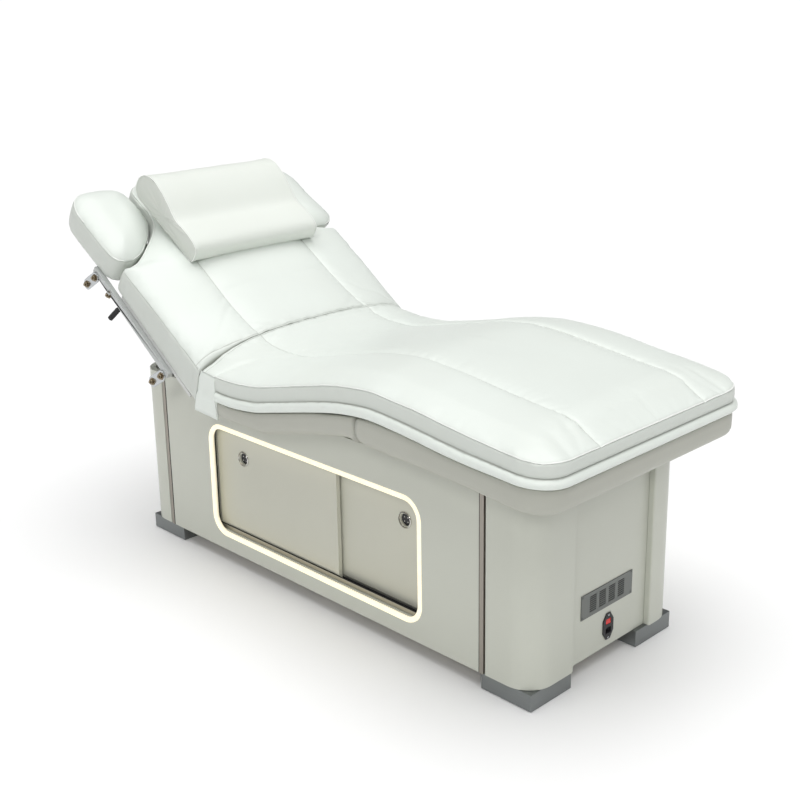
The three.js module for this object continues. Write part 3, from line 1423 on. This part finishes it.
// Floor bracket: a plate with two cheeks and the actuator's lower pin.
function actuatorBase(name, x, z) {
  const z0 = FLOOR_TOP_Z + FIT_GAP;
  const half = ACTUATOR_EYE_WIDTH / 2 + CHEEK_GAP;
  const width = ACTUATOR_BRACKET_WIDTH / 2;
  const plate = block(
    x - width,
    x + width,
    ACTUATOR_Y - width,
    ACTUATOR_Y + width,
    z0,
    z0 + ACTUATOR_BRACKET_PLATE,
  );
  const cheeks = SIDES.map(([, sign]) => {
    const y0 = ACTUATOR_Y + Math.min(sign * half, sign * (half + CHEEK_THICKNESS));
    const shape = polygon([
      [x - width + WELD_SINK, z0 + ACTUATOR_BRACKET_PLATE - WELD_SINK],
      [x + width - WELD_SINK, z0 + ACTUATOR_BRACKET_PLATE - WELD_SINK],
      [x + FRAME_EAR_RADIUS, z],
      [x - FRAME_EAR_RADIUS, z],
    ]);
    const round = rodAcross(FRAME_EAR_RADIUS, y0, y0 + CHEEK_THICKNESS, x, z);
    return join(extrudeAcross(shape, y0, y0 + CHEEK_THICKNESS), round);
  });
  const pin = rodAcross(
    FRAME_PIN_RADIUS,
    ACTUATOR_Y - half - CHEEK_THICKNESS / 2,
    ACTUATOR_Y + half + CHEEK_THICKNESS / 2,
    x,
    z,
  );
  return piece(name, join(plate, ...cheeks, pin), "darkSteel");
}

// Backrest cushion, board and frame, drawn in the backrest's own frame
function quadraticPoint(a, b, c, t) {
  const u = 1 - t;
  return [0, 1].map((k) => u * u * a[k] + 2 * u * t * b[k] + t * t * c[k]);
}

// Half widths up the back: full width, a hollow for the arm pads, then the narrow head part.
function backRows(startAlong, inset = 0) {
  const half = COUCH_HALF - inset;
  const rows = evenly(startAlong, BACK_SHOULDER_START - BACK_SHOULDER_CORNER, 6).map((a) => [a, half]);
  const corner = BACK_SHOULDER_START - inset;
  rows.push([corner - BACK_SHOULDER_CORNER * 0.3, half - BACK_SHOULDER_CORNER * 0.3]);
  const from = [corner, half - BACK_SHOULDER_CORNER];
  const via = [BACK_SHOULDER_BULGE, BACK_SHOULDER_BULGE_HALF - inset];
  const to = [BACK_SHOULDER_END, BACK_HEAD_HALF_WIDTH - inset];
  evenly(0, 1, 8).forEach((t) => rows.push(quadraticPoint(from, via, to, t)));
  const headHalf = BACK_HEAD_HALF_WIDTH - inset;
  const headStarts = evenly(BACK_SHOULDER_END, BACK_LENGTH - BACK_HEAD_RADIUS, 4).slice(1, -1);
  return rows.concat(
    rowsWithRoundEnd(headStarts, BACK_LENGTH - inset, headHalf, BACK_HEAD_RADIUS - inset, 4),
  );
}

function edgePathOf(rows) {
  const near = rows.map(([a, half]) => [a, -half]);
  const far = rows.map(([a, half]) => [a, half]);
  return near.concat(far.reverse());
}

// Lower face of the stiff part of the backrest, which meets the seat's mitre when fully raised.
// The lumbar foam fills the wedge between the two.
const MITRE_TILT = Math.atan2(BACK_MITRE_LEAN, BACK_MITRE_DROP);
const MITRE_ANGLE = BACK_ANGLE - MITRE_TILT;
const BACK_FACE_ANGLE = MITRE_ANGLE + THREE.MathUtils.degToRad(BACK_OPENING_DEG);

function backFace(extra) {
  const start = BACK_HINGE_ALONG + (extra - BACK_HINGE_TO_FACE) / Math.cos(BACK_FACE_ANGLE);
  return (off) => start + Math.tan(BACK_FACE_ANGLE) * (off + BACK_HINGE_DROP);
}

function lumbarFace(extra) {
  const offsetX = SEAT_HEAD_X - BACK_START_X;
  const offsetZ = SEAT_HEAD_Z - BACK_START_Z;
  const along = offsetZ * Math.sin(BACK_ANGLE) - offsetX * Math.cos(BACK_ANGLE);
  const above = offsetX * Math.sin(BACK_ANGLE) + offsetZ * Math.cos(BACK_ANGLE);
  const start = along + extra / Math.cos(MITRE_ANGLE);
  return (off) => start + Math.tan(MITRE_ANGLE) * (off - above);
}

function backCrown(along, y, path) {
  const edge = bulge(distanceToPath(along, y, path), CROWN_REACH * 0.55, 2.4);
  const sideways = bulge(COUCH_HALF - Math.abs(y), CROWN_REACH);
  const crease = CROWN_CREASE_SHARE + (1 - CROWN_CREASE_SHARE) * bulge(along, CROWN_END_REACH, 2);
  const held = Math.min(edge, sideways) * crease;
  return CROWN_HEIGHT * held - channelDip(y) * Math.min(1, held * 2);
}

function backLevels(lowest) {
  const share = (part) => (along) => part * lowest(along);
  return [
    { inset: 0, height: () => 0 },
    { inset: BOXING_DRAW * 0.8, height: share(0.25) },
    { inset: BOXING_DRAW, height: share(0.6) },
    { inset: 0, height: share(1) },
  ];
}

function backSoft(name, rows, ends, path, wedge = false) {
  const heelRise = (along) => Math.max(0, -along) * BACK_HEEL_RISE_SHARE;
  const lowest = (along) => backUnderside(along) + BACK_BOARD + FIT_GAP + heelRise(along);
  const geometry = padded({
    rows,
    shares: crossShares(COUCH_HALF),
    levels: backLevels(lowest),
    top: (along, y) => backCrown(along, y, path),
    ends,
    wedge,
  });
  return piece(name, geometry, "leather");
}

const BACK_FACE_SEAM = backFace(0)(0);
const LUMBAR_START = lumbarFace(RUN_GAP)(0);

function backCushions() {
  const rows = backRows(BACK_FACE_SEAM + CROWN_HEIGHT);
  rows.unshift([BACK_FACE_SEAM, COUCH_HALF]);
  const whole = edgePathOf(backRows(LUMBAR_START - COUCH_HALF));
  const lumbarRows = evenly(LUMBAR_START, BACK_FACE_SEAM, LUMBAR_ROWS).map((a) => [a, COUCH_HALF]);
  return [
    backSoft("back_cushion", rows, [backFace(0), null], whole),
    backSoft("lumbar_cushion", lumbarRows, [lumbarFace(RUN_GAP), backFace(-RUN_GAP)], whole, true),
  ];
}

function backBoard() {
  const start = backFace(RUN_GAP)(backUnderside(0));
  const rows = backRows(Math.max(start, 0), 2 * RUN_GAP);
  const geometry = padded({
    rows,
    shares: plainShares(),
    top: () => 0,
    levels: [
      { inset: 0, height: (a) => backUnderside(a) + BACK_BOARD },
      { inset: 0, height: (a) => backUnderside(a) },
    ],
  });
  return piece("back_board", geometry, "cabinet");
}

function backFrame() {
  const topAt = (a) => backUnderside(a) - FIT_GAP;
  const parts = [];
  SIDES.forEach(([, sign]) => {
    const y0 = Math.min(sign * MOVING_TUBE_INNER_Y, sign * MOVING_TUBE_OUTER_Y);
    const y1 = y0 + MOVING_TUBE_WIDTH;
    const narrow = BACK_HEAD_HALF_WIDTH - MOVING_TUBE_WIDTH;
    const beam = extrudeAcross(
      polygon([
        [BACK_HINGE_ALONG, -BACK_HINGE_DROP - BARREL_RADIUS],
        [BACK_SHOULDER_END, topAt(BACK_SHOULDER_END) - FRAME_TUBE],
        [BACK_SHOULDER_END, topAt(BACK_SHOULDER_END)],
        [0, topAt(0)],
        [BACK_HINGE_ALONG, -BACK_HINGE_DROP + FRAME_PIN_RADIUS],
      ]),
      y0,
      y1,
    );
    const barrel = rodAcross(BARREL_RADIUS, y0, y1, BACK_HINGE_ALONG, -BACK_HINGE_DROP);
    parts.push(beam, barrel);
    const headInner = Math.min(sign * narrow, sign * (narrow - MOVING_TUBE_WIDTH));
    parts.push(
      extrudeAcross(
        polygon([
          [BACK_SHOULDER_END - FRAME_TUBE, topAt(BACK_SHOULDER_END) - FRAME_TUBE],
          [BACK_TUBE_END, topAt(BACK_TUBE_END) - FRAME_TUBE],
          [BACK_TUBE_END, topAt(BACK_TUBE_END)],
          [BACK_SHOULDER_END - FRAME_TUBE, topAt(BACK_SHOULDER_END - FRAME_TUBE)],
        ]),
        headInner,
        headInner + MOVING_TUBE_WIDTH,
      ),
    );
  });
  const strap = (a, halfWidth) => {
    const half = BACK_STRAP_WIDTH / 2;
    return extrudeAcross(
      polygon([
        [a - half, topAt(a - half) - BACK_STRAP_THICKNESS],
        [a + half, topAt(a + half) - BACK_STRAP_THICKNESS],
        [a + half, topAt(a + half)],
        [a - half, topAt(a - half)],
      ]),
      -halfWidth,
      halfWidth,
    );
  };
  const toRail = RAIL_INNER_Y - FIT_GAP;
  const crossing = (a, reach) => {
    const half = FRAME_TUBE / 2;
    return extrudeAcross(
      polygon([
        [a - half, topAt(a) - FRAME_TUBE],
        [a + half, topAt(a) - FRAME_TUBE],
        [a + half, topAt(a - half)],
        [a - half, topAt(a - half)],
      ]),
      -reach,
      reach,
    );
  };
  parts.push(strap(BACK_ACTUATOR_ALONG + BACK_STRAP_WIDTH / 2, toRail));
  parts.push(strap(BACK_STRAP_ALONG, toRail));
  parts.push(crossing(BACK_SHOULDER_END - FRAME_TUBE / 2, MOVING_TUBE_OUTER_Y));
  parts.push(crossing(BACK_TUBE_END - FRAME_TUBE, BACK_HEAD_HALF_WIDTH - MOVING_TUBE_WIDTH));
  const cheekTop = topAt(BACK_ACTUATOR_ALONG) - BACK_STRAP_THICKNESS + WELD_SINK;
  parts.push(...actuatorCheeks(BACK_ACTUATOR_ALONG, -BACK_ACTUATOR_DROP, cheekTop));
  const bores = SIDES.map(([, sign]) => {
    const y0 = Math.min(sign * MOVING_TUBE_INNER_Y, sign * MOVING_TUBE_OUTER_Y) - CUT_OVERRUN;
    const y1 = y0 + MOVING_TUBE_WIDTH + 2 * CUT_OVERRUN;
    const radius = FRAME_PIN_RADIUS + BARREL_CLEARANCE;
    return rodAcross(radius, y0, y1, BACK_HINGE_ALONG, -BACK_HINGE_DROP);
  });
  return piece("back_frame", cut(join(...parts), ...bores), "darkSteel");
}

const RAIL_OUTER_Y = RAIL_INNER_Y + RAIL_WIDTH;

function railMiddle(along) {
  return backUnderside(along) - FIT_GAP - RAIL_DEPTH / 2;
}

// Rails and what they carry, for one side of the backrest; sideSign is +1 on the near side here.
function sideRail(sideSign) {
  const y0 = Math.min(sideSign * RAIL_INNER_Y, sideSign * RAIL_OUTER_Y);
  const halfDepth = RAIL_DEPTH / 2;
  const section = (along) => railMiddle(along);
  const rail = extrudeAcross(
    polygon([
      [RAIL_START, section(RAIL_START) - halfDepth],
      [RAIL_END, section(RAIL_END) - halfDepth],
      [RAIL_END + RAIL_EDGE, section(RAIL_END) - halfDepth + RAIL_EDGE],
      [RAIL_END + RAIL_EDGE, section(RAIL_END) + halfDepth],
      [RAIL_START - RAIL_EDGE, section(RAIL_START) + halfDepth],
      [RAIL_START - RAIL_EDGE, section(RAIL_START) - halfDepth + RAIL_EDGE],
    ]),
    y0,
    y0 + RAIL_WIDTH,
  );
  const outer = sideSign * RAIL_OUTER_Y;
  const boltTip = sideSign * (RAIL_OUTER_Y + BOLT_HEAD_HEIGHT);
  const boltOff = railMiddle(RAIL_BOLT_ALONG) - RAIL_BOLT_DROP;
  return join(rail, domeBolt(RAIL_BOLT_ALONG, boltOff, outer, boltTip, sideSign));
}

function domeBolt(along, off, faceY, tipY, sideSign) {
  const height = Math.abs(tipY - faceY);
  const profile = [
    [0, -WELD_SINK],
    [BOLT_HEAD_RADIUS, -WELD_SINK],
    [BOLT_HEAD_RADIUS, height * 0.25],
    [BOLT_HEAD_RADIUS * 0.8, height * 0.7],
    [BOLT_HEAD_RADIUS * 0.45, height],
    [0, height],
  ];
  const head = turned(profile, SMALL_ROUND_SEGMENTS);
  if (sideSign < 0) head.rotateX(Math.PI);
  return head.translate(along, faceY, off);
}

// Bracket plate with two dome-head bolts, on the outside of a rail.
function bracket(along, drop, sideSign) {
  const off = railMiddle(along) - drop;
  const face = sideSign * (RAIL_OUTER_Y + FIT_GAP);
  const outer = sideSign * (RAIL_OUTER_Y + FIT_GAP + BRACKET_THICKNESS);
  const lowAlong = along + BOLT_PITCH_ALONG;
  const lowOff = off - BOLT_PITCH_DROP;
  const angle = Math.atan2(lowOff - off, lowAlong - along);
  const outline = new THREE.Shape();
  const radius = BRACKET_WIDTH / 2;
  outline.absarc(along, off, radius, angle + Math.PI / 2, angle + 1.5 * Math.PI);
  outline.absarc(lowAlong, lowOff, radius, angle - Math.PI / 2, angle + Math.PI / 2);
  const plate = extrudeAcross(outline, Math.min(face, outer), Math.max(face, outer));
  const tip = outer + sideSign * BOLT_HEAD_HEIGHT;
  return join(
    plate,
    domeBolt(along, off, outer, tip, sideSign),
    domeBolt(lowAlong, lowOff, outer, tip, sideSign),
  );
}

// Release lever: a boss on the rail's inner face, a stem and a rubber grip that hangs below.
function releaseLever(sideSign) {
  const y1 = sideSign * (RAIL_INNER_Y - FIT_GAP);
  const y0 = sideSign * (RAIL_INNER_Y - FIT_GAP - LEVER_THICKNESS);
  const off = railMiddle(LEVER_ALONG);
  const boss = rodAcross(LEVER_BOSS_RADIUS, Math.min(y0, y1), Math.max(y0, y1), LEVER_ALONG, off);
  const middle = (y0 + y1) / 2;
  const stem = rodUp(LEVER_STEM_RADIUS, off - LEVER_REACH, off, LEVER_ALONG, middle, SMALL_ROUND_SEGMENTS);
  const bottom = off - LEVER_REACH;
  const grip = turned(
    [
      [0, 0],
      [LEVER_GRIP_RADIUS * 0.7, 0],
      [LEVER_GRIP_RADIUS, LEVER_GRIP_RADIUS * 0.5],
      [LEVER_GRIP_RADIUS * 0.88, LEVER_GRIP_LENGTH - LEVER_STEM_RADIUS],
      [LEVER_GRIP_RADIUS * 0.6, LEVER_GRIP_LENGTH],
      [0, LEVER_GRIP_LENGTH],
    ],
    SMALL_ROUND_SEGMENTS,
  );
  grip.rotateX(Math.PI / 2).translate(LEVER_ALONG, middle, bottom - LEVER_STEM_RADIUS);
  return join(boss, stem, grip);
}

// Rounded pad that fills one shoulder hollow; its plan is a row list about its own middle line.
const ARM_MIDDLE_Y = (ARM_OUTER_Y + ARM_INNER_Y) / 2;
const ARM_HALF = (ARM_OUTER_Y - ARM_INNER_Y) / 2;
const ARM_ROW_SHARES = [
  [0, 0.2, -0.72],
  [0.03, 0.36, -0.6],
  [0.09, 0.52, -0.46],
  [0.18, 0.68, -0.31],
  [0.3, 0.84, -0.16],
  [0.44, 0.96, -0.04],
  [0.6, 1, 0],
  [0.76, 0.98, 0.01],
  [0.88, 0.88, 0.04],
  [0.955, 0.7, 0.06],
  [0.99, 0.46, 0.06],
  [1, 0.24, 0.06],
];

function armPad(sideSign) {
  const length = ARM_END - ARM_START;
  const rows = ARM_ROW_SHARES.map(([share, half, shift]) => [
    ARM_START + share * length,
    half * ARM_HALF,
    sideSign * (ARM_MIDDLE_Y - shift * ARM_HALF),
  ]);
  const path = rows
    .map(([a, half, middle]) => [a, middle - half])
    .concat(rows.map(([a, half, middle]) => [a, middle + half]).reverse());
  path.push(path[0]);
  return paddedAbout(rows, path);
}

// The same closed body as padded, with rows that each have a middle of their own.
function paddedAbout(rows, path) {
  const middleAt = smoothThrough(rows.map(([a, , middle]) => [a, middle]));
  const straight = padded({
    rows: rows.map(([a, half]) => [a, half]),
    shares: [-1, -0.8, -0.45, 0, 0.45, 0.8, 1],
    top: (a, y) => ARM_CROWN * bulge(distanceToPath(a, y + middleAt(a), path), ARM_CROWN_REACH, 2.2),
    levels: [
      { inset: 0, height: () => 0 },
      { inset: -ARM_DRAW * 0.4, height: () => -ARM_DEPTH * 0.3 },
      { inset: 0, height: () => -ARM_DEPTH * 0.75 },
      { inset: 2 * ARM_DRAW, height: () => -ARM_DEPTH },
    ],
  });
  const positions = straight.attributes.position;
  for (let i = 0; i < positions.count; i += 1) {
    const along = THREE.MathUtils.clamp(positions.getX(i), ARM_START, ARM_END);
    positions.setY(i, positions.getY(i) + middleAt(along));
  }
  return straight;
}

// Steel plate under the pad with an ear down to the bracket's upper bolt.
function armPlate(sideSign) {
  const margin = ARM_PLATE_MARGIN;
  const outerY = RAIL_INNER_Y - FIT_GAP;
  const top = -ARM_DEPTH - FIT_GAP;
  const plate = (() => {
    const a0 = ARM_START + margin;
    const a1 = ARM_END - 2 * margin;
    const y0 = Math.min(sideSign * outerY, sideSign * (ARM_INNER_Y + 2 * margin));
    const y1 = Math.max(sideSign * outerY, sideSign * (ARM_INNER_Y + 2 * margin));
    return block(a0, a1, y0, y1, top - ARM_PLATE, top);
  })();
  const earY0 = Math.min(sideSign * outerY, sideSign * (outerY - ARM_EAR_THICKNESS));
  const pivot = railMiddle(BRACKET_UP_ALONG) - BRACKET_UP_DROP;
  const half = ARM_EAR_WIDTH / 2;
  const ear = block(
    BRACKET_UP_ALONG - half,
    BRACKET_UP_ALONG + half,
    earY0,
    earY0 + ARM_EAR_THICKNESS,
    pivot,
    top - WELD_SINK,
  );
  const round = rodAcross(half, earY0, earY0 + ARM_EAR_THICKNESS, BRACKET_UP_ALONG, pivot);
  return join(plate, ear, round);
}

// Contoured pillow: a lower front roll, a shallow dip and a higher rear roll, closed by end gussets.
function pillowSection() {
  const a0 = PILLOW_START;
  const a1 = PILLOW_START + PILLOW_LENGTH;
  const z0 = PILLOW_REST;
  const outline = new THREE.Shape();
  const third = PILLOW_LENGTH / 3;
  outline.moveTo(a0 + third / 4, z0);
  outline.lineTo(a1 - third / 3, z0);
  outline.bezierCurveTo(
    a1 + third / 8,
    z0,
    a1 + third / 8,
    z0 + PILLOW_REAR_HEIGHT,
    a1 - third * 0.7,
    z0 + PILLOW_REAR_HEIGHT,
  );
  outline.bezierCurveTo(
    a1 - 1.4 * third,
    z0 + PILLOW_REAR_HEIGHT * 0.92,
    a1 - 1.7 * third,
    z0 + PILLOW_DIP_HEIGHT,
    a0 + third,
    z0 + PILLOW_DIP_HEIGHT,
  );
  outline.bezierCurveTo(
    a0 + third * 0.6,
    z0 + PILLOW_FRONT_HEIGHT,
    a0 - third / 10,
    z0 + PILLOW_FRONT_HEIGHT * 1.05,
    a0,
    z0 + PILLOW_FRONT_HEIGHT / 2,
  );
  outline.quadraticCurveTo(a0, z0, a0 + third / 4, z0);
  return outline.getPoints(ARC_SEGMENTS);
}

function pillow() {
  const section = pillowSection();
  if (section[0].distanceTo(section[section.length - 1]) < 1e-3) section.pop();
  const centre = new THREE.Vector2(PILLOW_START + PILLOW_LENGTH / 2, PILLOW_REST + PILLOW_DIP_HEIGHT / 2);
  const stations = [-1, -0.93, -0.6, 0, 0.6, 0.93, 1];
  const positions = [];
  const indices = [];
  const count = section.length;
  stations.forEach((station) => {
    const drawn = Math.abs(station) === 1 ? PILLOW_END_DRAW : 0;
    section.forEach((point) => {
      const inward = centre.clone().sub(point).normalize().multiplyScalar(drawn);
      positions.push(point.x + inward.x, station * PILLOW_HALF_WIDTH, point.y + Math.max(inward.y, 0 - drawn));
    });
  });
  for (let s = 0; s + 1 < stations.length; s += 1) {
    for (let k = 0; k < count; k += 1) {
      const next = (k + 1) % count;
      const a = s * count + k;
      const b = s * count + next;
      indices.push(a, a + count, b + count, a, b + count, b);
    }
  }
  const cap = (offset, y, flip) => {
    const centreIndex = positions.length / 3;
    positions.push(centre.x, y, centre.y);
    for (let k = 0; k < count; k += 1) {
      const next = (k + 1) % count;
      if (flip) indices.push(centreIndex, offset + next, offset + k);
      else indices.push(centreIndex, offset + k, offset + next);
    }
  };
  cap(0, -PILLOW_HALF_WIDTH, false);
  cap((stations.length - 1) * count, PILLOW_HALF_WIDTH, true);
  const geometry = new THREE.BufferGeometry();
  geometry.setAttribute("position", new THREE.Float32BufferAttribute(positions, 3));
  geometry.setIndex(indices);
  return piece("pillow", geometry, "leather");
}

// Assembly
function cabinetGroup() {
  const group = new THREE.Group();
  group.add(carcass(), ...sidePanels(), ...endPanels(), lightStrip(), doorJamb());
  group.add(column("column_foot_near", COLUMN_FOOT_LENGTH, COLUMN_NEAR_REACH, 1, -1));
  group.add(column("column_foot_far", COLUMN_FOOT_LENGTH, COLUMN_FAR_REACH, 1, 1));
  SIDES.forEach(([side, sign]) => {
    group.add(column("column_head_" + side, COLUMN_HEAD_LENGTH, COLUMN_HEAD_REACH, -1, sign));
    group.add(strip("strip_foot_" + side, SIDE_PANEL_X1 + FIT_GAP, sign, 1));
    group.add(strip("strip_head_" + side, SIDE_PANEL_X0 - FIT_GAP, sign, -1));
    group.add(foot("pedestal_foot_" + side, 1, sign), foot("pedestal_head_" + side, -1, sign));
  });
  group.add(track("track_bottom", JAMB_Z0 + FIT_GAP, 1));
  group.add(track("track_top", JAMB_Z1 - FIT_GAP, -1));
  const frontX0 = JAMB_X0 + DOOR_END_GAP;
  const rearX0 = JAMB_X1 - DOOR_END_GAP - DOOR_LENGTH;
  group.add(...door("front", frontX0, DOOR_FRONT_Y, 1, frontX0 + PULL_FRONT_INSET));
  const rearPullX = rearX0 + DOOR_LENGTH - PULL_REAR_INSET;
  group.add(...door("rear", rearX0, DOOR_REAR_Y, -1, rearPullX));
  group.add(ventGrille(), powerInlet(), rockerSwitch(), controlBox());
  group.add(platformFrame(), legRestBar());
  group.add(actuatorBase("actuator_base_back", BACK_MOTOR_X, BACK_MOTOR_Z));
  group.add(actuatorBase("actuator_base_leg", LEG_MOTOR_X, LEG_MOTOR_Z));
  return group;
}

function couchGroup() {
  const group = new THREE.Group();
  const cushions = couchCushions();
  const shells = trays();
  group.add(cushions.seat, cushions.knee, cushions.leg, shells.seat, shells.leg, legFrame());
  return group;
}

function backGroup() {
  const group = new THREE.Group();
  group.add(...backCushions(), backBoard(), backFrame(), pillow());
  SIDES.forEach(([side, sign]) => {
    const own = -sign;
    group.add(piece("rail_" + side, sideRail(own), "paintedSteel"));
    group.add(piece("bracket_low_" + side, bracket(BRACKET_LOW_ALONG, BRACKET_LOW_DROP, own), "chrome"));
    group.add(piece("bracket_up_" + side, bracket(BRACKET_UP_ALONG, BRACKET_UP_DROP, own), "chrome"));
    group.add(piece("release_lever_" + side, releaseLever(own), "black"));
    group.add(piece("arm_pad_" + side, armPad(own), "leather"));
    group.add(piece("arm_plate_" + side, armPlate(own), "darkSteel"));
  });
  const axes = new THREE.Matrix4().makeBasis(backAlong, new THREE.Vector3(0, -1, 0), backNormal);
  group.quaternion.setFromRotationMatrix(axes);
  group.position.set(BACK_START_X, 0, BACK_START_Z);
  return group;
}

const table = new THREE.Group();
table.add(cabinetGroup(), couchGroup(), backGroup());
const backTip = backPoint(BACK_ACTUATOR_ALONG, -BACK_ACTUATOR_DROP);
table.add(
  actuator(
    "back_actuator",
    BACK_MOTOR_X,
    BACK_MOTOR_Z,
    backTip.x,
    backTip.z,
    BACK_TUBE_LENGTH,
    -1,
  ),
  actuator(
    "leg_actuator",
    LEG_MOTOR_X,
    LEG_MOTOR_Z,
    LEG_ACTUATOR_X,
    LEG_ACTUATOR_Z,
    LEG_TUBE_LENGTH,
    1,
  ),
);

// The part's origin is the middle of its own box, on the floor.
const part = new THREE.Group();
part.add(table);
part.updateMatrixWorld(true);
const bounds = new THREE.Box3().setFromObject(table, true);
const middle = bounds.getCenter(new THREE.Vector3());
table.position.set(-middle.x, -middle.y, -bounds.min.z);

export default part;
